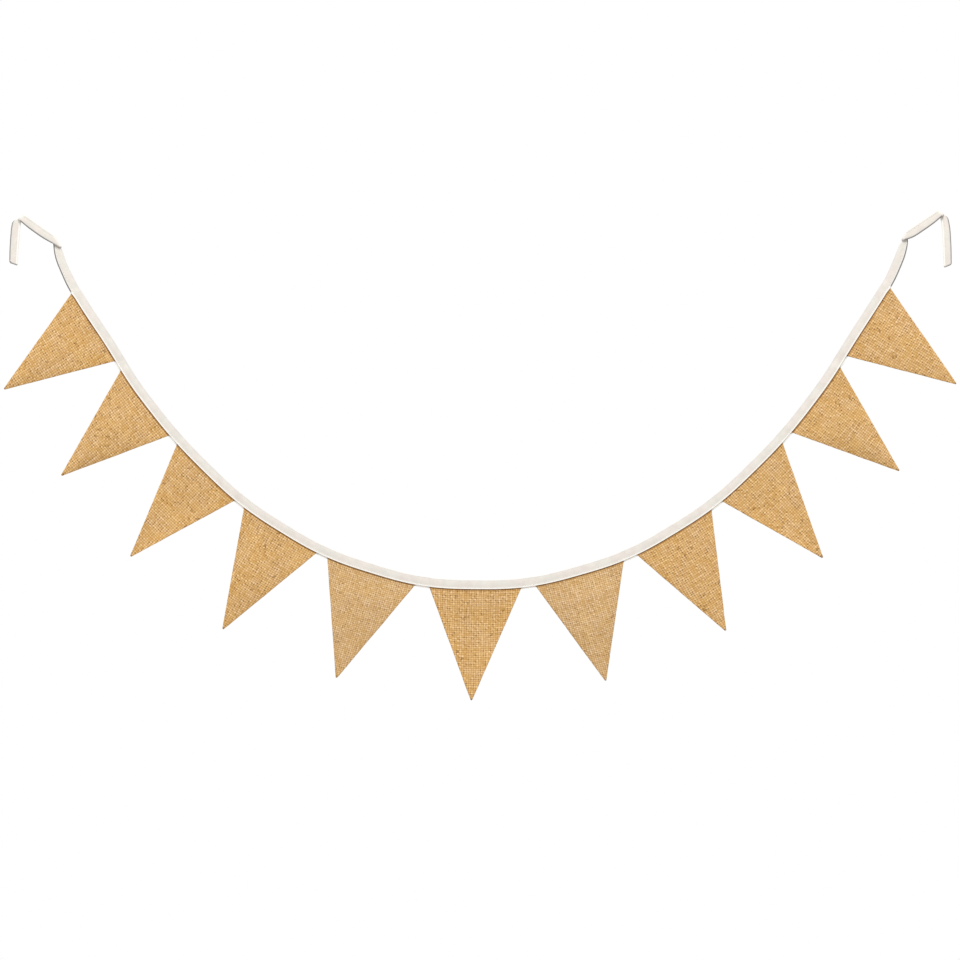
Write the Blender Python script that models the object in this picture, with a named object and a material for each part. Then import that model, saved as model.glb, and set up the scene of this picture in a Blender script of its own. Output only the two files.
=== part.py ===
"""Fabric bunting: hessian pennants held in the fold of a cotton binding tape.

The bunting hangs in the XZ plane and is seen from -Y. One length of tape, folded in
half along its length, closes over the top edges of all the pennants, and its two ends
run on as the ties. Each tie turns over on itself once, runs outwards to where it is
held, folds over to the back there and hangs down. Sizes are in metres, and the origin
lies midway between the two places where the ties are held.
"""

import math
from collections import namedtuple

import bmesh
import bpy
from mathutils import Vector

MM = 0.001
DEPTH = Vector((0.0, 1.0, 0.0))

# The tape, as it lies folded, and the pennants' cloth
TAPE_WIDTH = 10.3 * MM
TAPE_LAYER = 1.0 * MM
TAPE_LIP = 0.9 * MM  # the back layer is this much wider, so that one seam catches both
TIE_LIP = 0.3 * MM  # the same on the ties
CLEARANCE = 0.3 * MM  # between the tape and the cloth in its fold
CLOTH = 1.0 * MM
EMPTY_FOLD = 0.15 * MM  # half the space left in the fold where no cloth is in it
OPEN_MARGIN = 2.0 * MM  # the fold stays open this far past the corners of each pennant
SEAM_ALLOWANCE = 8.3 * MM  # how far a pennant reaches up into the fold
HEM_WIDTH = 5.0 * MM
HEM_THICKNESS = 0.6 * MM  # added at the back, where the hem lies on the cloth
HEM_EDGE = 1.0 * MM  # the slope at the hem's inner edge
HEM_START = 4.0 * MM  # below the tape, where the hem has its full thickness
HEM_LIMITS = (0.42, 0.46)  # the most of the width that the hem and its slope take, at the tip
TIP_WIDTH = 1.8 * MM

# The tape's lower edge passes through this point (x, z) at the middle of pennant 6
LOWEST = Vector((-0.0052, -0.4113))
END_SLOPES = (58.5, -58.0)  # the tape's fall to the right at its two outer corners, degrees
GAP_SLOPES = (59.0, -58.5)  # in the bare gaps next to the first and last pennants

# One row for each pennant, left to right. slope: the tape's fall to the right along it,
# degrees. base: its width at the tape. gap: tape left bare after it. drop: from the tape
# to the tip. shift: how far the tip lies to the right of the middle, along the tape.
# curl: how far the tip comes forward. bow: how far the middle bulges forward. All in mm.
Pennant = namedtuple("Pennant", "slope base gap drop shift curl bow")
PENNANTS = (
    Pennant(slope=56.0, base=88.4, gap=12.3, drop=118.5, shift=4.5, curl=2.5, bow=1.6),
    Pennant(slope=52.5, base=89.2, gap=13.1, drop=120.9, shift=8.8, curl=-1.5, bow=2.4),
    Pennant(slope=44.6, base=88.5, gap=13.3, drop=123.0, shift=5.4, curl=3.0, bow=-1.2),
    Pennant(slope=31.8, base=93.9, gap=13.3, drop=125.0, shift=3.5, curl=1.0, bow=2.0),
    Pennant(slope=17.2, base=101.0, gap=16.2, drop=122.7, shift=-2.2, curl=-2.0, bow=1.4),
    Pennant(slope=0.5, base=101.0, gap=16.3, drop=123.3, shift=-3.2, curl=2.0, bow=-1.8),
    Pennant(slope=-15.9, base=100.6, gap=16.5, drop=120.9, shift=-4.6, curl=-2.5, bow=2.2),
    Pennant(slope=-31.4, base=95.7, gap=15.3, drop=121.0, shift=-7.9, curl=1.5, bow=1.2),
    Pennant(slope=-44.4, base=92.3, gap=15.5, drop=120.3, shift=-10.2, curl=3.5, bow=-1.4),
    Pennant(slope=-53.0, base=89.4, gap=14.4, drop=119.6, shift=-8.3, curl=-1.0, bow=2.6),
    Pennant(slope=-57.0, base=88.8, gap=0.0, drop=117.1, shift=-6.0, curl=2.5, bow=1.0),
)

# The ties, from the outer corner of the end pennant to the cut end. One row for each
# section across the tape, in mm from that corner: out and up of the open edge, then of
# the folded edge. layer: 0 behind, 1 in front, 2 hanging at the back. The tape turns over
# on itself between two rows of different layers.
Section = namedtuple("Section", "open_out open_up fold_out fold_up layer")
LEFT_TIE = (
    Section(5.6, 10.3, -4.1, 14.6, 0),
    Section(10.8, 22.1, 1.6, 26.1, 0),
    Section(15.9, 34.1, 6.4, 36.6, 0),
    Section(18.5, 43.2, 8.8, 44.8, 0),
    Section(19.5, 51.6, 9.9, 47.9, 0),
    Section(20.0, 57.5, 10.7, 48.9, 0),
    Section(19.6, 61.6, 11.2, 49.6, 0),
    Section(19.6, 64.5, 12.2, 51.0, 1),
    Section(21.4, 66.3, 16.2, 52.8, 1),
    Section(23.6, 67.9, 21.0, 55.0, 1),
    Section(26.4, 69.9, 31.5, 60.8, 1),
    Section(40.4, 79.8, 46.5, 71.4, 1),
    Section(49.6, 86.2, 56.0, 79.4, 1),
    Section(51.6, 85.9, 58.5, 81.6, 2),
    Section(54.4, 83.6, 64.3, 80.3, 2),
    Section(56.0, 77.4, 65.7, 76.7, 2),
    Section(56.8, 69.1, 66.9, 67.0, 2),
    Section(58.3, 52.7, 68.1, 48.3, 2),
    Section(59.4, 30.6, 68.3, 33.8, 2),
)
RIGHT_TIE = (
    Section(5.4, 9.7, -4.2, 14.3, 0),
    Section(10.7, 21.6, 1.1, 25.9, 0),
    Section(15.8, 34.2, 6.0, 38.0, 0),
    Section(18.5, 45.0, 9.0, 46.3, 0),
    Section(19.2, 51.6, 11.2, 50.2, 0),
    Section(19.0, 56.8, 12.0, 51.1, 0),
    Section(17.7, 59.3, 12.7, 51.6, 0),
    Section(18.3, 63.1, 14.0, 52.6, 1),
    Section(19.0, 64.1, 18.0, 53.1, 1),
    Section(20.0, 64.8, 22.2, 54.4, 1),
    Section(21.0, 65.6, 26.5, 56.3, 1),
    Section(31.8, 73.0, 37.8, 63.9, 1),
    Section(42.9, 80.3, 48.9, 71.8, 1),
    Section(49.6, 84.6, 56.5, 78.6, 1),
    Section(52.0, 84.3, 59.2, 80.0, 2),
    Section(54.0, 80.6, 63.3, 78.5, 2),
    Section(56.0, 74.7, 64.6, 73.6, 2),
    Section(57.5, 62.7, 66.2, 64.2, 2),
    Section(58.2, 40.7, 67.3, 44.4, 2),
    Section(59.1, 22.2, 67.5, 25.6, 2),
)
LAYER_DEPTHS = (0.0, -2.9 * MM, 1.1 * MM)  # of the tape's middle, by layer

BOW_START = 0.25  # the part of the drop over which the bulge comes in
RUN_STEP = 2.0 * MM  # between the points that the tape's line is worked out at
FOLD_TURN = (0.0, 0.0, 45.0, 90.0, 135.0, 180.0, 180.0)  # round the tape's fold, degrees
TURN_STEPS = 5  # in each place where a tie folds over
PENNANT_COLUMNS = 8
PENNANT_ROWS = 9
BASE_STEPS = 5  # in the tape along each pennant
SHARP_ANGLE = math.radians(40.0)

HESSIAN = (0.658, 0.407, 0.178, 1.0)
COTTON = (0.84, 0.81, 0.74, 1.0)

TapeSection = namedtuple("TapeSection", "open_edge fold_edge through space lip")


def smooth(t):
    t = min(max(t, 0.0), 1.0)
    return t * t * (3.0 - 2.0 * t)


def pennant_starts():
    """How far along the tape each pennant starts, and the length of the whole run."""
    starts = []
    length = 0.0
    for row in PENNANTS:
        starts.append(length)
        length += (row.base + row.gap) * MM
    return starts, length


class Run:
    """The tape's lower edge, from the first pennant to the last.

    It keeps each pennant's own slope at its middle and bends mostly in the bare gaps.
    """

    def __init__(self):
        self.starts, self.length = pennant_starts()
        middles = [s + row.base * MM / 2 for s, row in zip(self.starts, PENNANTS)]
        end_gaps = (
            self.starts[1] - PENNANTS[0].gap * MM / 2,
            self.starts[-1] - PENNANTS[-2].gap * MM / 2,
        )
        known = [
            *zip((0.0, self.length), END_SLOPES),
            *zip(end_gaps, GAP_SLOPES),
            *((s, row.slope) for s, row in zip(middles, PENNANTS)),
        ]
        self.knots, self.slopes = zip(*sorted(known))
        self.points = [Vector((0.0, 0.0))]
        self.steps = math.ceil(self.length / RUN_STEP)
        for i in range(self.steps):
            here = self.slope((i + 0.5) / self.steps * self.length)
            step = Vector((math.cos(here), -math.sin(here))) * self.length / self.steps
            self.points.append(self.points[-1] + step)
        middle = len(PENNANTS) // 2
        offset = LOWEST - self.point(middles[middle])
        self.points = [p + offset for p in self.points]

    def slope(self, s):
        """The fall to the right in radians, at the length s."""
        last = len(self.knots) - 2
        k = max(i for i in range(last + 1) if i == 0 or self.knots[i] <= s)
        part = (s - self.knots[k]) / (self.knots[k + 1] - self.knots[k])
        return math.radians(
            self.slopes[k] + (self.slopes[k + 1] - self.slopes[k]) * smooth(part)
        )

    def point(self, s):
        place = min(max(s / self.length, 0.0), 1.0) * self.steps
        i = min(int(place), self.steps - 1)
        return self.points[i].lerp(self.points[i + 1], place - i)

    def upward(self, s):
        """The direction across the tape, from its open edge to its fold."""
        here = self.slope(s)
        return Vector((math.sin(here), math.cos(here)))


def upright(flat, depth=0.0):
    """The point (x, z) of the bunting's plane, at the depth y."""
    return Vector((flat.x, depth, flat.y))


def closed_sheet(name, columns, rows, place, material):
    """An object of one closed sheet. place(column, row, face) gives each point of its
    grid, with face 0 in front and 1 behind."""
    bm = bmesh.new()
    bmesh.ops.create_grid(bm, x_segments=columns, y_segments=rows, size=0.5)
    made = bmesh.ops.extrude_face_region(bm, geom=bm.faces[:])
    behind = [part for part in made["geom"] if isinstance(part, bmesh.types.BMVert)]
    bmesh.ops.translate(bm, verts=behind, vec=(0.0, 0.0, 1.0))
    for vert in bm.verts:
        column = round((vert.co.x + 0.5) * columns)
        row = round((vert.co.y + 0.5) * rows)
        vert.co = place(column, row, round(vert.co.z))
    bmesh.ops.recalc_face_normals(bm, faces=bm.faces[:])
    mesh = bpy.data.meshes.new(name)
    bm.to_mesh(mesh)
    bm.free()
    mesh.shade_smooth()
    mesh.set_sharp_from_angle(angle=SHARP_ANGLE)
    mesh.materials.append(material)
    piece = bpy.data.objects.new(name, mesh)
    bpy.context.scene.collection.objects.link(piece)
    return piece


def run_sections(run):
    """The tape's sections along the pennants: open at each one, closed in the gaps."""
    full = CLOTH / 2 + CLEARANCE
    sections = []
    for start, row in zip(run.starts, PENNANTS):
        base = row.base * MM
        marks = [(start - OPEN_MARGIN, full)]
        marks += [(start + base * i / BASE_STEPS, full) for i in range(1, BASE_STEPS)]
        marks += [(start + base + OPEN_MARGIN, full)]
        marks += [(start + base + row.gap * MM / 2, EMPTY_FOLD)]
        for s, space in marks:
            open_edge = run.point(s)
            fold_edge = open_edge + run.upward(s) * TAPE_WIDTH
            sections.append(
                TapeSection(upright(open_edge), upright(fold_edge), DEPTH, space, TAPE_LIP)
            )
    return sections[:-1]


def tie_section(edges, depth, through):
    open_edge, fold_edge = edges
    return TapeSection(
        upright(open_edge, depth), upright(fold_edge, depth), through, EMPTY_FOLD, TIE_LIP
    )


def turned_over(first, second, ahead, depths, through):
    """The sections of the tape as it turns over, from the first pair of edge points to
    the second and from the first depth to the second."""
    radius = (depths[1] - depths[0]) / 2
    centre = (depths[1] + depths[0]) / 2
    line = (first[1] - first[0] + second[1] - second[0]).normalized()
    outward = Vector((line.y, -line.x))
    if outward.dot(ahead) < 0:
        outward = -outward
    side = through.y * math.copysign(1.0, radius)
    for step in range(1, TURN_STEPS + 1):
        part = step / TURN_STEPS
        angle = math.pi * part
        bulge = outward * abs(radius) * math.sin(angle)
        edges = [a.lerp(b, part) + bulge for a, b in zip(first, second)]
        depth = centre - radius * math.cos(angle)
        turned = through * math.cos(angle) - upright(outward) * side * math.sin(angle)
        yield tie_section(edges, depth, turned)


def tie_sections(corner, rows, outwards):
    """The tape's sections along a tie, from the end pennant's corner to the cut end."""
    pairs = []
    for row in rows:
        open_edge = corner + Vector((row.open_out * outwards, row.open_up)) * MM
        fold_edge = corner + Vector((row.fold_out * outwards, row.fold_up)) * MM
        pairs.append((open_edge, fold_edge))
    sections = []
    layer = 0
    through = DEPTH
    for i, row in enumerate(rows):
        if row.layer == layer:
            sections.append(tie_section(pairs[i], LAYER_DEPTHS[layer], through))
            continue
        ahead = sum(pairs[i - 1], Vector((0.0, 0.0))) - sum(pairs[i - 2], Vector((0.0, 0.0)))
        depths = (LAYER_DEPTHS[layer], LAYER_DEPTHS[row.layer])
        sections += turned_over(pairs[i - 1], pairs[i], ahead, depths, through)
        layer = row.layer
        through = -through
    return sections


def make_tape(run, material):
    left = tie_sections(run.point(0.0), LEFT_TIE, -1.0)
    right = tie_sections(run.point(run.length), RIGHT_TIE, 1.0)
    sections = [*reversed(left), *run_sections(run), *right]
    last = len(FOLD_TURN) - 1

    def place(column, row, face):
        section = sections[column]
        across = section.fold_edge - section.open_edge
        width = across.length
        straight = width - section.space - TAPE_LAYER
        height = {0: 0.0, last: -section.lip}.get(row, straight)
        radius = section.space + TAPE_LAYER * (1 - face)
        turn = math.radians(FOLD_TURN[row])
        height += radius * math.sin(turn)
        through = -radius * math.cos(turn)
        return section.open_edge + across * (height / width) + section.through * through

    return closed_sheet("binding_tape", len(sections) - 1, last, place, material)


def make_pennant(name, run, start, size, material):
    base = size.base * MM
    left = run.point(start)
    right = run.point(start + base)
    along = (right - left).normalized()
    downward = Vector((along.y, -along.x))
    tip = (left + right) / 2 + downward * size.drop * MM + along * size.shift * MM
    drop = size.drop * MM
    below_lip = (TAPE_LIP + 2 * CLEARANCE) / drop
    marks = [0.0, below_lip, below_lip + HEM_START / drop]
    rest = PENNANT_ROWS - len(marks)
    marks += [marks[-1] + (1.0 - marks[-1]) * i / rest for i in range(1, rest + 1)]

    def place(column, row, face):
        down = marks[row - 1] if row else 0.0
        width = base + (TIP_WIDTH - base) * down
        hem = min(HEM_WIDTH / width, HEM_LIMITS[0])
        inner = min(hem + HEM_EDGE / width, HEM_LIMITS[1])
        free = PENNANT_COLUMNS - 4
        fractions = [0.0, hem]
        fractions += [inner + (1.0 - 2 * inner) * i / free for i in range(free + 1)]
        fractions += [1.0 - hem, 1.0]
        u = fractions[column]
        s = start + base * u
        flat = run.point(s)
        if not row:
            flat = flat + run.upward(s) * SEAM_ALLOWANCE
        flat = flat.lerp(tip + along * (u - 0.5) * TIP_WIDTH, down)
        hang = smooth((down - marks[1]) / (1.0 - marks[1]))
        bulge = 4.0 * u * (1.0 - u) * math.sin(math.pi * down)
        depth = -size.curl * MM * hang - size.bow * MM * bulge * smooth(down / BOW_START)
        if not face:
            return upright(flat, depth - CLOTH / 2)
        in_hem = column in (0, 1, PENNANT_COLUMNS - 1, PENNANT_COLUMNS)
        raised = HEM_THICKNESS if in_hem and row > 2 else 0.0
        return upright(flat, depth + CLOTH / 2 + raised)

    return closed_sheet(name, PENNANT_COLUMNS, PENNANT_ROWS, place, material)


def make_material(name, colour, roughness):
    material = bpy.data.materials.new(name)
    material.use_nodes = True
    shader = material.node_tree.nodes["Principled BSDF"]
    shader.inputs["Base Color"].default_value = colour
    shader.inputs["Roughness"].default_value = roughness
    return material


def main():
    for existing in list(bpy.data.objects):
        bpy.data.objects.remove(existing)
    hessian = make_material("hessian", HESSIAN, 0.95)
    cotton = make_material("cotton_tape", COTTON, 0.85)
    run = Run()
    make_tape(run, cotton)
    for number, (start, row) in enumerate(zip(run.starts, PENNANTS), 1):
        make_pennant(f"pennant_{number:02d}", run, start, row, hessian)


main()
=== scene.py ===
import bisect
import math
from collections import namedtuple

import bmesh
import bpy
from mathutils import Matrix, Vector, noise


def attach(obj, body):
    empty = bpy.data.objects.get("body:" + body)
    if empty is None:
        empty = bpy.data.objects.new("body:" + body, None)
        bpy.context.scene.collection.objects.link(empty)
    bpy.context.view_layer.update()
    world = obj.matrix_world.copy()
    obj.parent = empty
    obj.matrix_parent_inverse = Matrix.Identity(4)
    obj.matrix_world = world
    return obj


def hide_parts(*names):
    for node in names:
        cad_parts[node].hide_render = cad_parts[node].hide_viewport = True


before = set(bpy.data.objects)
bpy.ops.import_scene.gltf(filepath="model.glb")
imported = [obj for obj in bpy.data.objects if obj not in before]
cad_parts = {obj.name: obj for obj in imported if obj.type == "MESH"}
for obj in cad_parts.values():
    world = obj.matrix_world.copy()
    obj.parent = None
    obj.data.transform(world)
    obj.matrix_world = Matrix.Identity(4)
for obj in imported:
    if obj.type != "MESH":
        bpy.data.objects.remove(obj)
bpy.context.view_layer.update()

# The line that the sewn bunting hangs in. The tape is held at its two ends, so it sags
# in a deep curve, steep at the ends and level at the middle pennant. Each pennant keeps
# its own base straight, and the tape bends mostly in the bare gaps between them.
MM = 0.001
Pennant = namedtuple("Pennant", "slope base gap drop shift curl bow")
# slope: the tape's fall to the right along the pennant, degrees. base: its width at the
# tape. gap: tape left bare after it. drop: from the tape to the tip. shift: how far the
# tip lies to the right of the middle. curl: how far the tip comes forward. bow: how far
# the middle bulges forward. All in mm.
PENNANTS = (
    Pennant(slope=56.0, base=88.4, gap=12.3, drop=118.5, shift=4.5, curl=2.5, bow=1.6),
    Pennant(slope=52.5, base=89.2, gap=13.1, drop=120.9, shift=8.8, curl=-1.5, bow=2.4),
    Pennant(slope=44.6, base=88.5, gap=13.3, drop=123.0, shift=5.4, curl=3.0, bow=-1.2),
    Pennant(slope=31.8, base=93.9, gap=13.3, drop=125.0, shift=3.5, curl=1.0, bow=2.0),
    Pennant(slope=17.2, base=101.0, gap=16.2, drop=122.7, shift=-2.2, curl=-2.0, bow=1.4),
    Pennant(slope=0.5, base=101.0, gap=16.3, drop=123.3, shift=-3.2, curl=2.0, bow=-1.8),
    Pennant(slope=-15.9, base=100.6, gap=16.5, drop=120.9, shift=-4.6, curl=-2.5, bow=2.2),
    Pennant(slope=-31.4, base=95.7, gap=15.3, drop=121.0, shift=-7.9, curl=1.5, bow=1.2),
    Pennant(slope=-44.4, base=92.3, gap=15.5, drop=120.3, shift=-10.2, curl=3.5, bow=-1.4),
    Pennant(slope=-53.0, base=89.4, gap=14.4, drop=119.6, shift=-8.3, curl=-1.0, bow=2.6),
    Pennant(slope=-57.0, base=88.8, gap=0.0, drop=117.1, shift=-6.0, curl=2.5, bow=1.0),
)
LOWEST = Vector((-0.0052, -0.4113))  # the tape's lower edge (x, z) at the middle pennant
END_SLOPES = (58.5, -58.0)  # at the first and last pennant's outer corner, degrees
GAP_SLOPES = (59.0, -58.5)  # in the bare gaps next to those two pennants
LINE_STEP = 2.0 * MM  # between the points that the line is worked out at


def smooth(t):
    """t from 0 to 1, with a soft start and end."""
    t = min(max(t, 0.0), 1.0)
    return t * t * (3.0 - 2.0 * t)


def upright(flat, depth=0.0):
    """The point (x, z) of the bunting's plane, at the depth y."""
    return Vector((flat.x, depth, flat.y))


class HangingLine:
    """The tape's lower edge, from the first pennant to the last."""

    def __init__(self):
        self.starts = []
        self.length = 0.0
        for row in PENNANTS:
            self.starts.append(self.length)
            self.length += (row.base + row.gap) * MM
        middles = [s + row.base * MM / 2 for s, row in zip(self.starts, PENNANTS)]
        end_gaps = (
            self.starts[1] - PENNANTS[0].gap * MM / 2,
            self.starts[-1] - PENNANTS[-2].gap * MM / 2,
        )
        known = [
            *zip((0.0, self.length), END_SLOPES),
            *zip(end_gaps, GAP_SLOPES),
            *((s, row.slope) for s, row in zip(middles, PENNANTS)),
        ]
        self.knots, self.slopes = zip(*sorted(known))
        self.points = [Vector((0.0, 0.0))]
        self.steps = math.ceil(self.length / LINE_STEP)
        for i in range(self.steps):
            here = self.slope((i + 0.5) / self.steps * self.length)
            step = Vector((math.cos(here), -math.sin(here))) * self.length / self.steps
            self.points.append(self.points[-1] + step)
        offset = LOWEST - self.point(middles[len(PENNANTS) // 2])
        self.points = [p + offset for p in self.points]

    def slope(self, s):
        """The fall to the right in radians, at the length s."""
        k = bisect.bisect_right(self.knots, s, 1, len(self.knots) - 1) - 1
        part = (s - self.knots[k]) / (self.knots[k + 1] - self.knots[k])
        return math.radians(
            self.slopes[k] + (self.slopes[k + 1] - self.slopes[k]) * smooth(part)
        )

    def point(self, s):
        """The point (x, z) at the length s."""
        place = min(max(s / self.length, 0.0), 1.0) * self.steps
        i = min(int(place), self.steps - 1)
        return self.points[i].lerp(self.points[i + 1], place - i)

    def upward(self, s):
        """The direction across the tape, from its open edge to its fold."""
        here = self.slope(s)
        return Vector((math.sin(here), math.cos(here)))


line = HangingLine()

# The pennants. Each is one triangle cut from natural hessian, a coarse plain weave of
# uneven jute yarn. Its two long sides are turned to the back as narrow pressed hems, and
# its top edge is left raw, because it goes into the tape.
HESSIAN_THICK = 0.8 * MM
SEAM_ALLOWANCE = 8.3 * MM  # of cloth inside the tape
HEM_WIDTH = 5.0 * MM
HEM_SLOPE = 0.8 * MM  # at the hem's inner edge, from two layers down to one
HEM_SHARE = 0.44  # the most of the width that one hem takes, near the tip
FLAT_HEM = 2.1 * MM  # below the line, where the tape's seam still presses the hem flat
HEM_OPENS = 4.0 * MM  # below that, over which the hem comes to its full thickness
TIP_WIDTH = 1.6 * MM
FOLD_ANGLES = (2.0, 22.0, 45.0, 67.0, 90.0)  # round the folded edge, degrees
PENNANT_COLUMNS = 18  # in the cloth between the hems
PENNANT_ROWS = 36
BOW_START = 0.25  # the part of the drop over which the bulge comes in
RIPPLE = 0.35 * MM
RIPPLE_SCALE = 28.0  # ripples to the metre
RAGGED = 0.22 * MM  # how far the folded edges stray from straight
RAGGED_SCALE = 70.0  # such places to the metre
RAGGED_START = 0.125  # the part of the drop over which they come in
SHADED_CLOTH = 4.3 * MM  # the depth of cloth that the tape's edge shades
SHADED_ABOVE = 0.5 * MM  # of that, above the line
WARP_PITCH = 2.65 * MM
WEFT_PITCH = 2.45 * MM
YARN_DRIFT = 3.0 * MM  # the most that a yarn wanders, from one side to the other
DRIFT_SCALE = 60.0  # bends to the metre of yarn
SLUB_SCALE = 95.0  # thick and thin places to the metre of yarn
HEM_SHADE_SCALE = 90.0  # deeper places to the metre of hem
PATCH_SCALE = 45.0  # paler patches to the metre
HESSIAN = (0.765, 0.483, 0.197)
GREY_HESSIAN = (0.748, 0.496, 0.232)
GREY_PENNANTS = (5, 7)  # cut from a greyer, finer cloth
HESSIAN_TINTS = (  # times the cloth's colour: pale yarn, deep yarn, painted shade in a close gap and an open gap, bark
    (1.20, 1.28, 1.50),
    (0.77, 0.66, 0.46),
    (0.70, 0.60, 0.38),
    (0.28, 0.18, 0.06),
    (0.36, 0.25, 0.10),
)
HEM_TINT = (0.985, 0.96, 0.90)  # the same, where the cloth is double
TAPE_SHADOW_TINT = (0.48, 0.38, 0.28)  # painted shadow where it goes in under the tape
PATCH_TINT = (0.98, 1.01, 1.20)  # in the paler patches


def maths(tree, operation, *values):
    """A Math node on the given numbers and sockets, and its output."""
    node = tree.nodes.new("ShaderNodeMath")
    node.operation = operation
    for socket, value in zip(node.inputs, values):
        if isinstance(value, (int, float)):
            socket.default_value = value
        else:
            tree.links.new(value, socket)
    return node.outputs[0]


def blended(tree, factor, low, high, blend="MIX"):
    """A colour mix of low and high, each a colour or a socket."""
    node = tree.nodes.new("ShaderNodeMix")
    node.data_type = "RGBA"
    node.blend_type = blend
    for name, value in (("Factor_Float", factor), ("A_Color", low), ("B_Color", high)):
        socket = next(s for s in node.inputs if s.identifier == name)
        if isinstance(value, (int, float)):
            socket.default_value = value
        elif isinstance(value, tuple):
            socket.default_value = (*value, 1.0)
        else:
            tree.links.new(value, socket)
    return next(s for s in node.outputs if s.identifier == "Result_Color")


def ramped(tree, value, low, high, to_low=0.0, to_high=1.0):
    """value taken smoothly from the range low..high to to_low..to_high."""
    node = tree.nodes.new("ShaderNodeMapRange")
    node.interpolation_type = "SMOOTHSTEP"
    for socket, number in zip(node.inputs[1:], (low, high, to_low, to_high)):
        socket.default_value = number
    tree.links.new(value, node.inputs[0])
    return node.outputs[0]


def speckle(tree, vector, scale, detail, roughness):
    """Noise on a vector in metres, with scale features to the metre."""
    node = tree.nodes.new("ShaderNodeTexNoise")
    node.inputs["Scale"].default_value = scale
    node.inputs["Detail"].default_value = detail
    node.inputs["Roughness"].default_value = roughness
    tree.links.new(vector, node.inputs["Vector"])
    return node


def stretched(tree, x, y):
    """A vector from two numbers or sockets."""
    node = tree.nodes.new("ShaderNodeCombineXYZ")
    for socket, value in zip(node.inputs, (x, y)):
        if isinstance(value, (int, float)):
            socket.default_value = value
        else:
            tree.links.new(value, socket)
    return node.outputs[0]


def by_thread(tree, x, y):
    """A random number for each thread, or for each place where two threads cross."""
    node = tree.nodes.new("ShaderNodeTexWhiteNoise")
    node.noise_dimensions = "2D"
    tree.links.new(stretched(tree, x, y), node.inputs["Vector"])
    return node.outputs["Value"]


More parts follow.
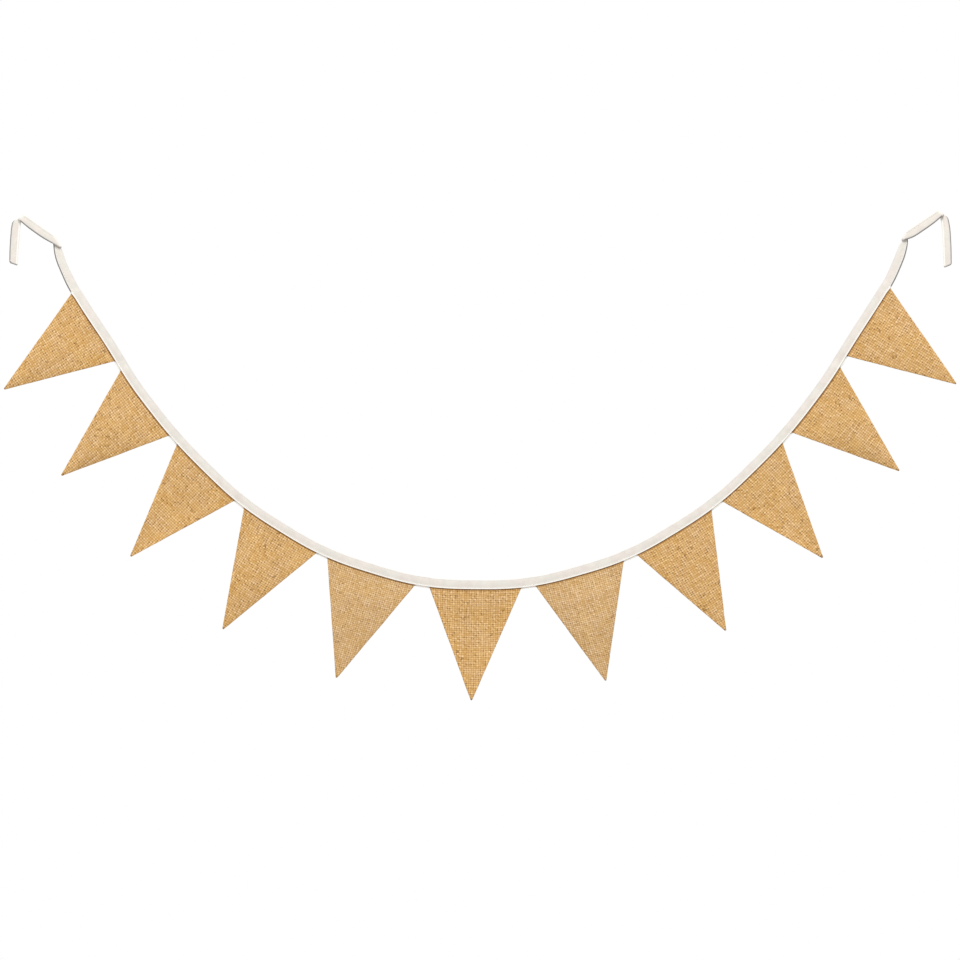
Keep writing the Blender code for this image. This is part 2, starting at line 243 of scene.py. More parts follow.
def hessian_cloth(name, colour, fineness, contrast):
    """Plain-woven jute: round uneven yarns, slubs, painted shade in the gaps and flecks of bark.
    fineness is how many times finer than the natural cloth it is, and contrast how strongly
    its gaps and flecks show."""
    material = bpy.data.materials.new(name)
    material.use_nodes = True
    tree = material.node_tree
    shader = tree.nodes["Principled BSDF"]
    shader.inputs["Roughness"].default_value = 0.92
    shader.inputs["Specular IOR Level"].default_value = 0.15
    shader.inputs["Sheen Weight"].default_value = 0.08
    shader.inputs["Sheen Roughness"].default_value = 0.5
    uv = tree.nodes.new("ShaderNodeUVMap")
    uv.uv_map = "Weave"
    flat = tree.nodes.new("ShaderNodeSeparateXYZ")
    tree.links.new(uv.outputs[0], flat.inputs[0])
    across, down = flat.outputs[0], flat.outputs[1]

    wander = speckle(tree, uv.outputs[0], DRIFT_SCALE, 5.0, 0.85)
    drift = tree.nodes.new("ShaderNodeSeparateColor")
    tree.links.new(wander.outputs["Color"], drift.inputs[0])
    moved_x = maths(tree, "MULTIPLY_ADD", drift.outputs[0], YARN_DRIFT, across)
    moved_y = maths(tree, "MULTIPLY_ADD", drift.outputs[1], YARN_DRIFT, down)
    x = maths(tree, "MULTIPLY", moved_x, fineness / WARP_PITCH)
    y = maths(tree, "MULTIPLY", moved_y, fineness / WEFT_PITCH)
    warp = maths(tree, "FLOOR", x)
    weft = maths(tree, "FLOOR", y)

    # The yarns are thick and thin along their length.
    warp_run = stretched(tree, maths(tree, "MULTIPLY", warp, 0.37), down)
    weft_run = stretched(tree, across, maths(tree, "MULTIPLY", weft, 0.41))
    warp_slub = speckle(tree, warp_run, SLUB_SCALE, 3.0, 0.6).outputs["Fac"]
    weft_slub = speckle(tree, weft_run, SLUB_SCALE, 3.0, 0.6).outputs["Fac"]

    def from_middle(place):
        """How far a point is from the middle of its yarn, squared, 1 at the yarn's edge."""
        offset = maths(tree, "MULTIPLY_ADD", maths(tree, "FRACT", place), 2.0, -1.0)
        return maths(tree, "MULTIPLY", offset, offset)

    def bump_of(own, other, slub):
        """The rounded top of a yarn, which dips under the two that cross it."""
        width = maths(tree, "MULTIPLY_ADD", slub, 1.1, 0.45)
        round_top = maths(tree, "SUBTRACT", 1.0, maths(tree, "DIVIDE", own, width))
        dip = maths(tree, "MULTIPLY_ADD", other, -0.6, 1.0)
        return maths(tree, "MULTIPLY", maths(tree, "MAXIMUM", round_top, 0.0), dip)

    def plain_weave(weft_value, warp_value):
        """The value of whichever yarn is in front, weft and warp by turns."""
        turns = tree.nodes.new("ShaderNodeMix")
        parity = maths(tree, "PINGPONG", maths(tree, "ADD", warp, weft), 1.0)
        for socket, value in zip(turns.inputs, (parity, None, weft_value, warp_value)):
            if value is not None:
                tree.links.new(value, socket)
        return turns.outputs[0]

    off_warp, off_weft = from_middle(x), from_middle(y)
    height = plain_weave(
        bump_of(off_weft, off_warp, weft_slub), bump_of(off_warp, off_weft, warp_slub)
    )

    # Each yarn has a shade of its own, and so has each place where it comes to the front.
    crossing = by_thread(tree, warp, weft)
    shades = []
    for thread, slub in ((weft, weft_slub), (warp, warp_slub)):
        along_yarn = maths(tree, "MULTIPLY", slub, 0.6)
        own_shade = maths(tree, "MULTIPLY_ADD", by_thread(tree, thread, 7.0), 0.18, along_yarn)
        shades.append(maths(tree, "MULTIPLY_ADD", crossing, 0.20, own_shade))
    shade = plain_weave(*shades)
    pale, deep, close, open_gap, bark = (
        tuple(min(c * k, 0.95) for c, k in zip(colour, tint)) for tint in HESSIAN_TINTS
    )
    yarn_colour = blended(tree, ramped(tree, shade, 0.16, 0.82), deep, pale)
    fleck = ramped(tree, crossing, 0.987, 0.997, 0.0, 0.65 * contrast)
    yarn_colour = blended(tree, fleck, yarn_colour, bark)
    # The gaps between the yarns, and the yarns' sides as they dip towards them, are painted in shade.
    gap = by_thread(tree, maths(tree, "ROUND", x), maths(tree, "ROUND", y))
    gap_shade = blended(tree, ramped(tree, gap, 0.55, 1.0, 0.0, contrast), close, open_gap)
    woven = blended(tree, ramped(tree, height, 0.0, 0.76), gap_shade, yarn_colour)

    # The cloth looks deeper where the turned hems lie behind it, and carries a painted shadow where it
    # goes in under the tape. It is a little paler and greyer in broad patches.
    attribute = tree.nodes.new("ShaderNodeAttribute")
    attribute.attribute_name = "hem_and_tape_shadow"
    uneven = speckle(tree, uv.outputs[0], HEM_SHADE_SCALE, 2.0, 0.5).outputs["Fac"]
    strength = ramped(tree, uneven, 0.3, 0.7, 0.2, 1.0)
    hem_and_tape_shadow = maths(tree, "MULTIPLY", attribute.outputs["Fac"], strength)
    woven = blended(tree, hem_and_tape_shadow, woven, blended(tree, 1.0, woven, HEM_TINT, "MULTIPLY"))
    # Painted shadow on the cloth just below the tape's edge.
    painted_tape_shadow = ramped(tree, attribute.outputs["Fac"], 1.0, 2.0)
    woven = blended(tree, painted_tape_shadow, woven, blended(tree, 1.0, woven, TAPE_SHADOW_TINT, "MULTIPLY"))
    patch = ramped(tree, speckle(tree, uv.outputs[0], PATCH_SCALE, 3.0, 0.6).outputs["Fac"], 0.3, 0.7)
    woven = blended(tree, patch, woven, blended(tree, 1.0, woven, PATCH_TINT, "MULTIPLY"))
    tree.links.new(woven, shader.inputs["Base Color"])

    bump = tree.nodes.new("ShaderNodeBump")
    bump.inputs["Strength"].default_value = 0.6 * contrast
    bump.inputs["Distance"].default_value = 0.5 * MM
    tree.links.new(height, bump.inputs["Height"])
    tree.links.new(bump.outputs[0], shader.inputs["Normal"])
    return material


def closed_cloth(name, columns, rows, place, material, tint):
    """An object of one closed sheet of cloth. place(column, row, face) gives each point
    of its grid, where it lies on the flat cloth in metres, and how much of the attribute
    tint it has. Face 0 is the front or outer side and 1 the other."""
    bm = bmesh.new()
    bmesh.ops.create_grid(bm, x_segments=columns, y_segments=rows, size=0.5)
    made = bmesh.ops.extrude_face_region(bm, geom=bm.faces[:])
    behind = [part for part in made["geom"] if isinstance(part, bmesh.types.BMVert)]
    bmesh.ops.translate(bm, verts=behind, vec=(0.0, 0.0, 1.0))
    weave = bm.loops.layers.uv.new("Weave")
    tinted = bm.verts.layers.float.new(tint)
    flat = {}
    for vert in bm.verts:
        column = round((vert.co.x + 0.5) * columns)
        row = round((vert.co.y + 0.5) * rows)
        vert.co, flat[vert], vert[tinted] = place(column, row, round(vert.co.z))
    for face in bm.faces:
        for loop in face.loops:
            loop[weave].uv = flat[loop.vert]
    bmesh.ops.recalc_face_normals(bm, faces=bm.faces[:])
    mesh = bpy.data.meshes.new(name)
    bm.to_mesh(mesh)
    bm.free()
    mesh.shade_smooth()
    mesh.materials.append(material)
    piece = bpy.data.objects.new(name, mesh)
    bpy.context.scene.collection.objects.link(piece)
    return piece


def across_marks(width, fold):
    """Where the columns of a pennant lie across its width, from its left edge: close
    together round each folded edge, on both sides of each hem's inner edge, and even
    between. Then the widths of a hem, of its inner slope and of its turned edge."""
    hem = min(HEM_WIDTH, HEM_SHARE * width)
    slope = min(HEM_SLOPE, 0.1 * hem)
    turn = min(fold, 0.3 * hem)
    edge = [turn * (1.0 - math.cos(math.radians(a))) for a in FOLD_ANGLES]
    side = [*edge, (turn + hem - slope) / 2, hem - slope, hem]
    free = [hem + (width - 2 * hem) * i / PENNANT_COLUMNS for i in range(1, PENNANT_COLUMNS)]
    return side + free + [width - mark for mark in reversed(side)], hem, slope, turn


def pennant_cloth(number, start, size, material):
    """One pennant, which starts at the length start of the line. Its columns lie across
    it, and its rows run from its raw edge inside the tape down to its tip."""
    base, drop = size.base * MM, size.drop * MM
    left, right = line.point(start), line.point(start + base)
    along = (right - left).normalized()
    downward = Vector((along.y, -along.x))
    tip = (left + right) / 2 + downward * drop + along * size.shift * MM
    below_tape = FLAT_HEM / drop
    marks = [-1.0, -0.2, 0.0, 0.5 * below_tape, below_tape]
    rest = PENNANT_ROWS - len(marks) + 1
    marks += [below_tape + (1.0 - below_tape) * i / rest for i in range(1, rest + 1)]
    last = len(across_marks(base, HESSIAN_THICK)[0]) - 1

    hem_rows = []
    for mark in marks:
        width = base + (TIP_WIDTH - base) * max(mark, 0.0)
        fullness = smooth((mark * drop - FLAT_HEM) / HEM_OPENS)
        fold = HESSIAN_THICK * (0.5 + 0.5 * fullness)
        hem_rows.append((width, fullness, fold, across_marks(width, fold)))

    def place(column, row, face):
        down = max(marks[row], 0.0)
        into_seam = min(marks[row], 0.0) * SEAM_ALLOWANCE
        width, fullness, fold, (places, hem, slope, turn) = hem_rows[row]
        at = places[column]
        u = at / width
        s = start + base * u
        flat = line.point(s) - line.upward(s) * into_seam
        flat = flat.lerp(tip + along * (u - 0.5) * TIP_WIDTH, down)
        side = -1.0 if u < 0.5 else 1.0
        ragged = noise.noise(Vector((side * 5.0, down * drop * RAGGED_SCALE, number * 3.7)))
        inward = min(at, width - at)
        share = smooth(1.0 - inward / HEM_WIDTH) * smooth(down / RAGGED_START)
        flat = flat + along * side * RAGGED * ragged * share

        hang = smooth((down - below_tape) / (1.0 - below_tape))
        bulge = 4.0 * u * (1.0 - u) * math.sin(math.pi * down) * smooth(down / BOW_START)
        depth = -size.curl * MM * hang - size.bow * MM * bulge
        wave = noise.noise(Vector((*(flat * RIPPLE_SCALE), number * 1.9)))
        depth += RIPPLE * wave * smooth(down / BOW_START)

        middle = HESSIAN_THICK / 2 * fullness  # of the two layers at the hem
        half = fold * math.sqrt(max(1.0 - (1.0 - min(inward / turn, 1.0)) ** 2, 0.0))
        front = middle - half
        behind = middle + half
        if inward > hem - slope - 1e-9:
            behind += (HESSIAN_THICK / 2 - behind) * min((inward - hem + slope) / slope, 1.0)
        depth += behind if face else front
        # The cloth is tinted once over the hems, and twice where the tape shades it.
        near_side = 1.0 - smooth((inward - 0.8 * hem) / (0.5 * HEM_WIDTH))
        tape_shadow = 2.0 * (1.0 - smooth((down * drop + SHADED_ABOVE) / SHADED_CLOTH))
        # Each pennant is cut from its own place on the cloth.
        cut_across = (u - 0.5) * width + down * size.shift * MM + 0.31 * number
        cut_down = 0.17 * number - down * drop - into_seam
        return upright(flat, depth), (cut_across, cut_down), max(near_side, tape_shadow)

    piece = closed_cloth(f"pennant_cloth_{number:02d}", last, PENNANT_ROWS, place, material, "hem_and_tape_shadow")
    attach(piece, "root")
    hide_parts(f"pennant_{number:02d}")
    return piece


natural_hessian = hessian_cloth("natural_hessian", HESSIAN, fineness=1.0, contrast=1.0)
grey_hessian = hessian_cloth("grey_hessian", GREY_HESSIAN, fineness=1.1, contrast=0.85)
for number, (start, size) in enumerate(zip(line.starts, PENNANTS), 1):
    cloth = grey_hessian if number in GREY_PENNANTS else natural_hessian
    pennant_cloth(number, start, size, cloth)

# The binding tape. One long strip of off-white woven cotton is folded in half along its
# length over the pennants' raw top edges and sewn through once. Its two ends run on as
# the ties, which turn over on themselves, are held at the top and hang down behind.
TAPE_FLAT = 22.5 * MM  # the strip's width before it is folded
TAPE_WIDTH = 11.0 * MM  # from the line to the fold
TAPE_THICK = 0.5 * MM
TAPE_RISE = 0.8 * MM  # from the line up to the front layer's edge
TAPE_LIP = 0.9 * MM  # from the line down to the back layer's edge, so that the seam catches it
TIE_LIP = 0.3 * MM  # the same along the ties
LIP_EASE = 6.0 * MM  # of tape, from each end pennant's corner, over which the edges part
SEAM_LINE = 2.6 * MM  # from the line to the stitches
OPEN_MARGIN = 2.0 * MM  # the fold stays open this far past the corners of each pennant
TAPE_STEP = 3.0 * MM  # the most between two sections of the tape
PUFF = 0.25 * MM  # how far the tape stands off the cloth between its seam and its fold
PUFF_SCALE = 40.0  # fuller and flatter places to the metre of tape
ABOVE_SEAM = 3.0 * MM  # of the tape's width, over which it comes to that above its seam
BELOW_SEAM = 1.2 * MM  # and opens a little below it
BELOW_FOLD = 2.6 * MM  # and closes again towards its fold
CLOTH_ROOM = 0.05 * MM  # between the cloth and the tape
LAYER_ROOM = 0.04 * MM  # between the tape's two layers, on each side of its middle
LAYER_DEPTHS = (0.0, -2.0 * MM, 0.6 * MM)  # of the tape's middle, by layer
TURN_STEPS = 8  # sections in each turn
EASING = 3  # rounds of smoothing along the tape's edges
CORNER = 2.2 * MM  # the radius of the cut ends' corners
CORNER_STEPS = (0.0, 0.3, 0.55, 0.75, 0.9, 0.97)
EDGE_ROWS = (0.0, 0.1, 0.3, 0.9, 1.5, 1.9, 2.3, 3.2, 4.6, 6.2, 7.8)  # up from an open edge, mm
EDGE_SPAN = 9.1 * MM  # the flat part of a layer that those rows are for
FOLD_ROWS = (0.0, 22.5, 45.0, 67.5, 90.0, 112.5, 135.0, 157.5, 180.0)  # round the fold, degrees
COTTON = (0.855, 0.815, 0.765)
PINKISH = (1.0, 0.965, 0.945)  # times the cotton's colour
GREENISH = (0.98, 0.98, 0.955)
MOTTLED = (0.93, 0.93, 0.93)  # the same, in the darker mottles
SUNK_THREAD_SHADE = (0.93, 0.93, 0.92)  # and, as painted shade, where a thread dips
FOLD_SHADE_TINT = (0.86, 0.87, 0.89)  # painted shade along the pressed fold
# A painted highlight along both edges of the strip.
EDGE_HIGHLIGHT = (0.94, 0.905, 0.84)
COTTON_PITCH = 0.75 * MM  # from thread to thread
STREAK_SCALE = 120.0  # streaks, mottling and warm places to the metre
STREAK_LENGTH = 8.0  # times their width
MOTTLE_SCALE = 110.0
WARMTH_SCALE = 60.0
EDGE_HIGHLIGHT_WIDTH = 1.6 * MM
CREASE_LINE = 11.4 * MM  # from the front layer's edge, across the cloth
FOLD_SHADE_WIDTH = 3.0 * MM
# Painted shade along the ties' edges that face out and up, and along the cut ends.
PAINTED_EDGE_SHADE = (0.25, 0.24, 0.225)
EDGE_SHADE_SIDE = (0.8, -0.6)  # out and up, the way that the ties' edges with painted shade face
EDGE_SHADE_WIDTH = 1.2 * MM  # of the line of painted shade along those edges
END_SHADE_WIDTH = 2.6 * MM  # the same along the cut ends

# The ties, from the outer corner of the end pennant to the cut end. One row for each
# section across the tape, in mm from that corner: out and up of the open edge, then of
# the folded edge. layer: 0 behind, 1 in front, 2 hanging at the back. The tape turns over
# on itself between two rows of different layers.
Section = namedtuple("Section", "open_out open_up fold_out fold_up layer")
CORNER_FOLD = (-9.2, 4.6)  # the folded edge at the corner itself, out and up
LEFT_TIE = (
    Section(5.6, 10.3, -4.1, 14.6, 0),
    Section(10.8, 22.1, 1.6, 26.1, 0),
    Section(15.9, 34.1, 6.4, 36.6, 0),
    Section(18.5, 43.2, 8.8, 44.8, 0),
    Section(19.5, 51.6, 9.9, 47.9, 0),
    Section(20.0, 57.5, 10.7, 48.9, 0),
    Section(19.6, 61.6, 11.2, 49.6, 0),
    Section(19.6, 64.5, 12.2, 51.0, 1),
    Section(21.4, 66.3, 16.2, 52.8, 1),
    Section(23.6, 67.9, 21.0, 55.0, 1),
    Section(26.4, 69.9, 31.5, 60.8, 1),
    Section(40.4, 79.8, 46.5, 71.4, 1),
    Section(49.6, 86.2, 56.0, 79.4, 1),
    Section(51.6, 85.9, 58.5, 81.6, 2),
    Section(54.4, 83.6, 64.3, 80.3, 2),
    Section(56.0, 77.4, 65.7, 76.7, 2),
    Section(56.8, 69.1, 66.9, 67.0, 2),
    Section(58.3, 52.7, 68.1, 48.3, 2),
    Section(59.4, 30.6, 68.3, 33.8, 2),
)
RIGHT_TIE = (
    Section(5.4, 9.7, -4.2, 14.3, 0),
    Section(10.7, 21.6, 1.1, 25.9, 0),
    Section(15.8, 34.2, 6.0, 38.0, 0),
    Section(18.5, 45.0, 9.0, 46.3, 0),
    Section(19.2, 51.6, 11.2, 50.2, 0),
    Section(19.0, 56.8, 12.0, 51.1, 0),
    Section(17.7, 59.3, 12.7, 51.6, 0),
    Section(18.3, 63.1, 14.0, 52.6, 1),
    Section(19.0, 64.1, 18.0, 53.1, 1),
    Section(20.0, 64.8, 22.2, 54.4, 1),
    Section(21.0, 65.6, 26.5, 56.3, 1),
    Section(31.8, 73.0, 37.8, 63.9, 1),
    Section(42.9, 80.3, 48.9, 71.8, 1),
    Section(49.6, 84.6, 56.5, 78.6, 1),
    Section(52.0, 84.3, 59.2, 80.0, 2),
    Section(54.0, 80.6, 63.3, 78.5, 2),
    Section(56.0, 74.7, 64.6, 73.6, 2),
    Section(57.5, 62.7, 66.2, 64.2, 2),
    Section(58.2, 40.7, 67.3, 44.4, 2),
    Section(59.1, 22.2, 67.5, 25.6, 2),
)

# A section of the finished tape: its two edges, the direction from its front layer to its
# back layer, how far a pennant fills its fold, the front layer's edge above the open edge,
# the back layer's edge below it, whether it is in a turn, and the way its edge with painted shade
# faces.
TapeSection = namedtuple("TapeSection", "open_edge fold_edge through filling rise lip creased soiled")


def cotton_cloth():
    """Off-white cotton: a close plain weave, lengthwise streaks and faint mottling."""
    material = bpy.data.materials.new("cotton_tape")
    material.use_nodes = True
    tree = material.node_tree
    shader = tree.nodes["Principled BSDF"]
    shader.inputs["Roughness"].default_value = 0.85
    shader.inputs["Specular IOR Level"].default_value = 0.2
    shader.inputs["Sheen Weight"].default_value = 0.1
    uv = tree.nodes.new("ShaderNodeUVMap")
    uv.uv_map = "Weave"
    flat = tree.nodes.new("ShaderNodeSeparateXYZ")
    tree.links.new(uv.outputs[0], flat.inputs[0])
    across, length = flat.outputs[0], flat.outputs[1]
    x = maths(tree, "MULTIPLY", across, math.pi / COTTON_PITCH)
    y = maths(tree, "MULTIPLY", length, math.pi / COTTON_PITCH)
    crossing = maths(tree, "MULTIPLY", maths(tree, "SINE", x), maths(tree, "SINE", y))
    weave = maths(tree, "MULTIPLY_ADD", crossing, 0.5, 0.5)
    lengthwise = stretched(tree, maths(tree, "MULTIPLY", across, STREAK_LENGTH), length)
    streaks = speckle(tree, lengthwise, STREAK_SCALE, 3.0, 0.6)
    mottle = speckle(tree, uv.outputs[0], MOTTLE_SCALE, 2.0, 0.5)
    warmth = speckle(tree, uv.outputs[0], WARMTH_SCALE, 2.0, 0.5)
    pink = tuple(c * k for c, k in zip(COTTON, PINKISH))
    green = tuple(c * k for c, k in zip(COTTON, GREENISH))
    white = (1.0, 1.0, 1.0)
    cloth = blended(tree, ramped(tree, warmth.outputs["Fac"], 0.35, 0.65), pink, green)
    mottled = blended(tree, ramped(tree, mottle.outputs["Fac"], 0.3, 0.7), MOTTLED, white)
    cloth = blended(tree, 1.0, cloth, mottled, "MULTIPLY")
    # Painted shade where the threads dip.
    cloth = blended(tree, 1.0, cloth, blended(tree, weave, SUNK_THREAD_SHADE, white), "MULTIPLY")
    # A painted highlight along both edges of the strip.
    other_edge = maths(tree, "SUBTRACT", TAPE_FLAT, across)
    from_edge = maths(tree, "MINIMUM", across, other_edge)
    edge = ramped(tree, from_edge, EDGE_HIGHLIGHT_WIDTH * 0.8, EDGE_HIGHLIGHT_WIDTH * 1.2, 1.0, 0.0)
    cloth = blended(tree, edge, cloth, EDGE_HIGHLIGHT)
    # Painted shade along the fold.
    from_fold = maths(tree, "ABSOLUTE", maths(tree, "SUBTRACT", across, CREASE_LINE))
    fold_shade = ramped(tree, from_fold, 0.3 * FOLD_SHADE_WIDTH, FOLD_SHADE_WIDTH, 1.0, 0.0)
    cloth = blended(tree, fold_shade, cloth, blended(tree, 1.0, cloth, FOLD_SHADE_TINT, "MULTIPLY"))
    # Painted shade along the ties' outer edges and the cut ends.
    attribute = tree.nodes.new("ShaderNodeAttribute")
    attribute.attribute_name = "soiled"
    cloth = blended(tree, ramped(tree, attribute.outputs["Fac"], 0.0, 1.0), cloth, PAINTED_EDGE_SHADE)
    tree.links.new(cloth, shader.inputs["Base Color"])
    relief = maths(tree, "MULTIPLY_ADD", streaks.outputs["Fac"], 0.8, weave)
    bump = tree.nodes.new("ShaderNodeBump")
    bump.inputs["Strength"].default_value = 0.5
    bump.inputs["Distance"].default_value = 0.12 * MM
    tree.links.new(relief, bump.inputs["Height"])
    tree.links.new(bump.outputs[0], shader.inputs["Normal"])
    return material


def held_by_tape(s):
    """1 where a pennant fills the fold at the length s, down to 0 between pennants."""
    nearest = 1.0
    for start, size in zip(line.starts, PENNANTS):
        past = max(start - s, s - start - size.base * MM, 0.0)
        nearest = min(nearest, past / OPEN_MARGIN)
    return 1.0 - smooth(nearest)


def run_sections():
    """The tape's sections along the pennants."""
    sections = []
    count = math.ceil(line.length / TAPE_STEP)
    for i in range(count + 1):
        s = line.length * i / count
        open_edge = line.point(s)
        fold_edge = open_edge + line.upward(s) * TAPE_WIDTH
        at_end = min(s, line.length - s) / LIP_EASE
        lip = TIE_LIP + (TAPE_LIP - TIE_LIP) * smooth(at_end)
        rise = TAPE_RISE * smooth(at_end)
        sections.append(
            TapeSection(
                upright(open_edge), upright(fold_edge), Vector((0.0, 1.0, 0.0)),
                held_by_tape(s), rise, lip, False, Vector((0.0, 0.0, 0.0)),
            )
        )
    return sections


def tie_section(edges, depth, through, creased, outwards):
    """A section of a tie at the given depth. The edges of a turn get no painted edge shade."""
    open_edge, fold_edge = edges
    out, up = EDGE_SHADE_SIDE
    soiled = Vector((0.0, 0.0, 0.0)) if creased else Vector((out * outwards, 0.0, up))
    return TapeSection(
        upright(open_edge, depth), upright(fold_edge, depth), through,
        0.0, 0.0, TIE_LIP, creased, soiled,
    )


def turned_over(first, second, ahead, depths, through, outwards):
    """The sections of the tape as it turns over, from the first pair of edge points to
    the second and from the first depth to the second."""
    radius = (depths[1] - depths[0]) / 2
    centre = (depths[1] + depths[0]) / 2
    across = (first[1] - first[0] + second[1] - second[0]).normalized()
    outward = Vector((across.y, -across.x))
    if outward.dot(ahead) < 0:
        outward = -outward
    side = through.y * math.copysign(1.0, radius)
    for step in range(1, TURN_STEPS + 1):
        part = step / TURN_STEPS
        angle = math.pi * part
        bulge = outward * abs(radius) * math.sin(angle)
        edges = [a.lerp(b, part) + bulge for a, b in zip(first, second)]
        depth = centre - radius * math.cos(angle)
        turned = through * math.cos(angle) - upright(outward) * side * math.sin(angle)
        yield tie_section(edges, depth, turned, True, outwards)


def tie_sections(corner, rows, outwards):
    """The tape's sections along a tie, from the end pennant's corner to the cut end."""
    pairs = []
    for row in rows:
        open_edge = corner + Vector((row.open_out * outwards, row.open_up)) * MM
        fold_edge = corner + Vector((row.fold_out * outwards, row.fold_up)) * MM
        pairs.append((open_edge, fold_edge))
    sections = []
    layer = 0
    through = Vector((0.0, 1.0, 0.0))
    before = (corner, corner + Vector((CORNER_FOLD[0] * outwards, CORNER_FOLD[1])) * MM)
    for i, row in enumerate(rows):
        if row.layer != layer:
            ahead = sum(pairs[i - 1], Vector((0.0, 0.0))) - sum(pairs[i - 2], Vector((0.0, 0.0)))
            depths = (LAYER_DEPTHS[layer], LAYER_DEPTHS[row.layer])
            sections += turned_over(pairs[i - 1], pairs[i], ahead, depths, through, outwards)
            layer = row.layer
            through = -through
            before = pairs[i]
            continue
        gone = max((a - b).length for a, b in zip(pairs[i], before))
        count = max(math.ceil(gone / TAPE_STEP), 1)
        for step in range(1, count + 1):
            edges = [b.lerp(a, step / count) for a, b in zip(pairs[i], before)]
            sections.append(tie_section(edges, LAYER_DEPTHS[layer], through, False, outwards))
        before = pairs[i]
    return sections


def eased(sections):
    """The same sections with the small corners of the tape's edges smoothed out."""
    for _ in range(EASING):
        softer = list(sections)
        for i in range(1, len(sections) - 1):
            near = sections[i - 1:i + 2]
            if any(section.creased for section in near):
                continue
            edges = [
                (sum((getattr(n, edge) for n in near), getattr(sections[i], edge))) / 4
                for edge in ("open_edge", "fold_edge")
            ]
            softer[i] = sections[i]._replace(open_edge=edges[0], fold_edge=edges[1])
        sections = softer
    return sections


def rounded_end(sections, end):
    """The same sections with the last of them, or the first where end is 0, drawn in so
    that the corners of the cut end are round."""
    cut, inner = (sections[0], sections[1]) if end == 0 else (sections[-1], sections[-2])
    drawn = []
    for part in CORNER_STEPS:
        back = CORNER * (1.0 - part)
        inset = CORNER * (1.0 - math.sqrt(1.0 - part * part))
        edges = []
        for edge, other in (("open_edge", "fold_edge"), ("fold_edge", "open_edge")):
            corner = getattr(cut, edge)
            inward = (getattr(cut, other) - corner).normalized() * inset
            along = (getattr(inner, edge) - corner).normalized() * back
            edges.append(corner + inward + along)
        drawn.append(cut._replace(open_edge=edges[0], fold_edge=edges[1]))
    if end == 0:
        return [*reversed(drawn), *sections[1:]]
    return [*sections[:-1], *drawn]


left_tie = tie_sections(line.point(0.0), LEFT_TIE, -1.0)
right_tie = tie_sections(line.point(line.length), RIGHT_TIE, 1.0)
sections = eased([*reversed(left_tie), *run_sections(), *right_tie])
sections = rounded_end(rounded_end(sections, 0), -1)
lengths = [0.0]
for one, other in zip(sections, sections[1:]):
    step = (other.open_edge + other.fold_edge - one.open_edge - one.fold_edge).length / 2
    lengths.append(lengths[-1] + step)


def stand_off(section, height, width, length):
    """From the tape's middle plane to the middle of either layer, at a height above its
    lower edge: drawn in at the seam, open over the cloth, rounded below the fold."""
    bed = (HESSIAN_THICK / 2 + CLOTH_ROOM) * section.filling + TAPE_THICK / 2 + LAYER_ROOM
    uneven = 0.75 + 0.5 * noise.noise(Vector((length * PUFF_SCALE, 3.0, 0.0)))
    above_seam = smooth((height - SEAM_LINE) / ABOVE_SEAM)
    below_seam = 0.3 * smooth((SEAM_LINE - height) / BELOW_SEAM)
    below_fold = smooth((width - height) / BELOW_FOLD)
    return bed + PUFF * uneven * (above_seam * (0.45 + 0.55 * below_fold) + below_seam)


def tape_place(column, row, face):
    """A point of the tape's cloth. Its rows run from the front layer's edge up to the fold,
    round it and down to the back layer's edge."""
    section = sections[column]
    across = section.fold_edge - section.open_edge
    width = across.length
    rows = len(EDGE_ROWS)
    fold = stand_off(section, width, width, lengths[column])
    # Painted shade along whichever edge of a tie faces out and up.
    fold_faces = across.normalized().dot(section.soiled)
    straight = width - fold - TAPE_THICK / 2
    share = straight / EDGE_SPAN
    out = TAPE_THICK / 2 * (1 - 2 * face)
    turn = 0.0
    if row < rows:
        mark = EDGE_ROWS[row] * MM
        height = section.rise + mark * share * (1.0 - section.rise / straight)
        reach = mark
        cloth = mark
        soiled = smooth(-2.0 * fold_faces) if mark < EDGE_SHADE_WIDTH else 0.0
    elif row < rows + len(FOLD_ROWS):
        turn = math.radians(FOLD_ROWS[row - rows])
        height = straight
        reach = width
        cloth = straight + fold * turn
        soiled = smooth(2.0 * fold_faces)
    else:
        mark = EDGE_ROWS[2 * rows + len(FOLD_ROWS) - 1 - row] * MM
        height = mark * (share + section.lip / straight) - section.lip
        reach = mark
        turn = math.pi
        cloth = TAPE_FLAT - mark
        soiled = smooth(-2.0 * fold_faces) if mark < EDGE_SHADE_WIDTH else 0.0
    # Each layer is rounded at its edge, where its two sides stay a little apart.
    edge = math.sqrt(max(1.0 - (1.0 - min(reach / (TAPE_THICK / 2), 1.0)) ** 2, 0.02))
    if row < rows or row >= rows + len(FOLD_ROWS):
        radius = stand_off(section, max(height, 0.0), width, lengths[column]) + out * edge
    else:
        radius = fold + out
    height += radius * math.sin(turn)
    point = section.open_edge + across * (height / width)
    point = point - section.through * radius * math.cos(turn)
    # Painted shade along the cut ends.
    from_end = min(lengths[column], lengths[-1] - lengths[column])
    soiled = max(soiled, 1.0 - smooth(from_end / END_SHADE_WIDTH))
    return point, (cloth, lengths[column]), soiled


cotton = cotton_cloth()
tape_rows = 2 * len(EDGE_ROWS) + len(FOLD_ROWS) - 1
tape = closed_cloth("tape_cloth", len(sections) - 1, tape_rows, tape_place, cotton, "soiled")
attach(tape, "root")
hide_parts("binding_tape")

# The seam. One row of white cotton lockstitch runs close to the tape's lower edge, from
# one cut end to the other, through the tape and the pennants. It shows on both sides.
STITCH_LENGTH = 2.5 * MM
STITCH_GAP = 0.7 * MM
THREAD = 0.36 * MM  # its thickness
THREAD_STANDS = 0.1  # its middle's height over the tape, in thicknesses
THREAD_WHITE = (0.84, 0.81, 0.75)
PLY_SCALE = 2500.0  # darker places to the metre, where its plies twist


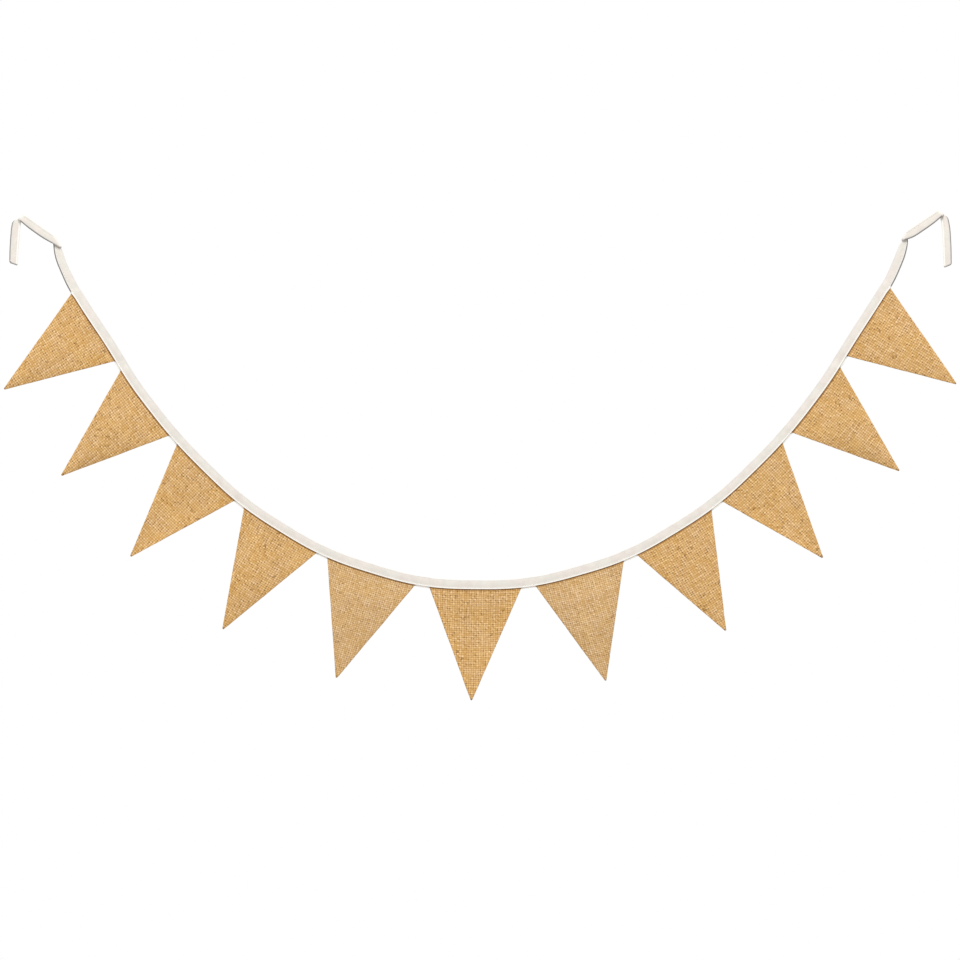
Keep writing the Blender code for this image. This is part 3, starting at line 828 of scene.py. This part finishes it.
def along_seam(at, side):
    """The point on the tape's surface at the seam, the length at along the tape, and the
    tape's outward direction there. side is 1 in front and -1 behind."""
    column = bisect.bisect_right(lengths, at, 1, len(lengths) - 1) - 1
    part = (at - lengths[column]) / (lengths[column + 1] - lengths[column])
    found = []
    for i in (column, column + 1):
        section = sections[i]
        across = section.fold_edge - section.open_edge
        width = across.length
        off = stand_off(section, SEAM_LINE, width, lengths[i]) + TAPE_THICK / 2
        point = section.open_edge + across * (SEAM_LINE / width) - section.through * off * side
        found.append((point, -section.through * side))
    return found[0][0].lerp(found[1][0], part), found[0][1].lerp(found[1][1], part).normalized()


def one_stitch():
    """A stitch as a mesh: a round-ended bead, 1 long up Z and 1 thick."""
    bm = bmesh.new()
    bmesh.ops.create_uvsphere(bm, u_segments=6, v_segments=4, radius=0.5)
    mesh = bpy.data.meshes.new("stitch")
    bm.to_mesh(mesh)
    bm.free()
    return mesh


def seam_stitches(name, side, material):
    """The row of stitches on one side of the finished tape."""
    bm = bmesh.new()
    stitch = one_stitch()
    count = int((lengths[-1] - 2 * STITCH_GAP) / (STITCH_LENGTH + STITCH_GAP))
    for i in range(count):
        begin = STITCH_GAP + i * (STITCH_LENGTH + STITCH_GAP)
        first, out = along_seam(begin, side)
        second, _ = along_seam(begin + STITCH_LENGTH, side)
        run = second - first
        laid = Matrix.LocRotScale(
            (first + second) / 2 + out * THREAD * THREAD_STANDS,
            Vector((0.0, 0.0, 1.0)).rotation_difference(run),
            Vector((THREAD, THREAD, run.length + THREAD)),
        )
        placed = stitch.copy()
        placed.transform(laid)
        bm.from_mesh(placed)
        bpy.data.meshes.remove(placed)
    bpy.data.meshes.remove(stitch)
    mesh = bpy.data.meshes.new(name)
    bm.to_mesh(mesh)
    bm.free()
    mesh.shade_smooth()
    mesh.materials.append(material)
    piece = bpy.data.objects.new(name, mesh)
    bpy.context.scene.collection.objects.link(piece)
    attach(piece, "root")
    return piece


def sewing_thread():
    """Twisted white sewing cotton."""
    material = bpy.data.materials.new("sewing_thread")
    material.use_nodes = True
    tree = material.node_tree
    shader = tree.nodes["Principled BSDF"]
    shader.inputs["Roughness"].default_value = 0.7
    coordinates = tree.nodes.new("ShaderNodeTexCoord")
    ply = speckle(tree, coordinates.outputs["Object"], PLY_SCALE, 1.0, 0.5)
    darker = tuple(c * 0.86 for c in THREAD_WHITE)
    shade = blended(tree, ramped(tree, ply.outputs["Fac"], 0.35, 0.65), darker, THREAD_WHITE)
    tree.links.new(shade, shader.inputs["Base Color"])
    return material


thread = sewing_thread()
for name, side in (("seam_stitches_front", 1.0), ("seam_stitches_back", -1.0)):
    seam_stitches(name, side, thread)

# The camera looks straight at the bunting through a long lens, as in the photograph. A
# large soft light hangs above and in front and a weaker one behind, the room is white,
# and the pale floor is far below.
PIXEL = 1.1 * MM  # the size on the bunting of one pixel of the photograph
PICTURE = 960  # the photograph's width and height in pixels
HANGING_ROW = 216  # the row of pixels at the origin's height
FRAME = PICTURE * PIXEL
CENTRE = Vector((0.0, 0.0, (HANGING_ROW - PICTURE / 2) * PIXEL))
LENS = 100.0
SENSOR = 36.0

lens = bpy.data.cameras.new("camera")
lens.lens = LENS
lens.sensor_width = SENSOR
camera = bpy.data.objects.new("camera", lens)
camera.location = CENTRE + Vector((0.0, -FRAME * LENS / SENSOR, 0.0))
camera.rotation_euler = (math.pi / 2, 0.0, 0.0)
bpy.context.scene.collection.objects.link(camera)
bpy.context.scene.camera = camera

LIT_POINT = Vector((0.0, 0.0, -0.25))  # the middle of the hanging bunting


def soft_light(name, place, size, power):
    """A square soft light that faces the middle of the bunting."""
    light = bpy.data.lights.new(name, "AREA")
    light.shape = "SQUARE"
    light.size = size
    light.energy = power
    lamp = bpy.data.objects.new(name, light)
    lamp.location = place
    lamp.rotation_euler = (LIT_POINT - Vector(place)).to_track_quat("-Z", "Y").to_euler()
    bpy.context.scene.collection.objects.link(lamp)


soft_light("overhead_light", (0.0, -2.4, 3.7), size=1.6, power=229.0)
soft_light("back_light", (0.0, 2.6, 2.4), size=1.8, power=60.0)

ROOM_LIGHT = 0.48  # the white room's strength, which the camera sees as 1
world = bpy.data.worlds.new("white_room")
world.use_nodes = True
bpy.context.scene.world = world
sky = world.node_tree
ray = sky.nodes.new("ShaderNodeLightPath")
background = sky.nodes["Background"]
background.inputs["Color"].default_value = (1.0, 1.0, 1.0, 1.0)
strength = ramped(sky, ray.outputs["Is Camera Ray"], 0.0, 1.0, ROOM_LIGHT, 1.0)
sky.links.new(strength, background.inputs["Strength"])

FLOOR_RADIUS = 1.3
FLOOR_DROP = 1.25  # from the ties' bends down to the floor
bm = bmesh.new()
bmesh.ops.create_circle(bm, cap_ends=True, segments=96, radius=FLOOR_RADIUS)
bmesh.ops.translate(bm, verts=bm.verts, vec=(0.0, 0.0, -FLOOR_DROP))
mesh = bpy.data.meshes.new("floor")
bm.to_mesh(mesh)
bm.free()
floor = bpy.data.objects.new("floor", mesh)
bpy.context.scene.collection.objects.link(floor)
paint = bpy.data.materials.new("pale_floor")
paint.use_nodes = True
paint_shader = paint.node_tree.nodes["Principled BSDF"]
paint_shader.inputs["Base Color"].default_value = (0.7, 0.7, 0.7, 1.0)
paint_shader.inputs["Roughness"].default_value = 0.8
mesh.materials.append(paint)

bpy.context.scene.view_settings.view_transform = "Standard"
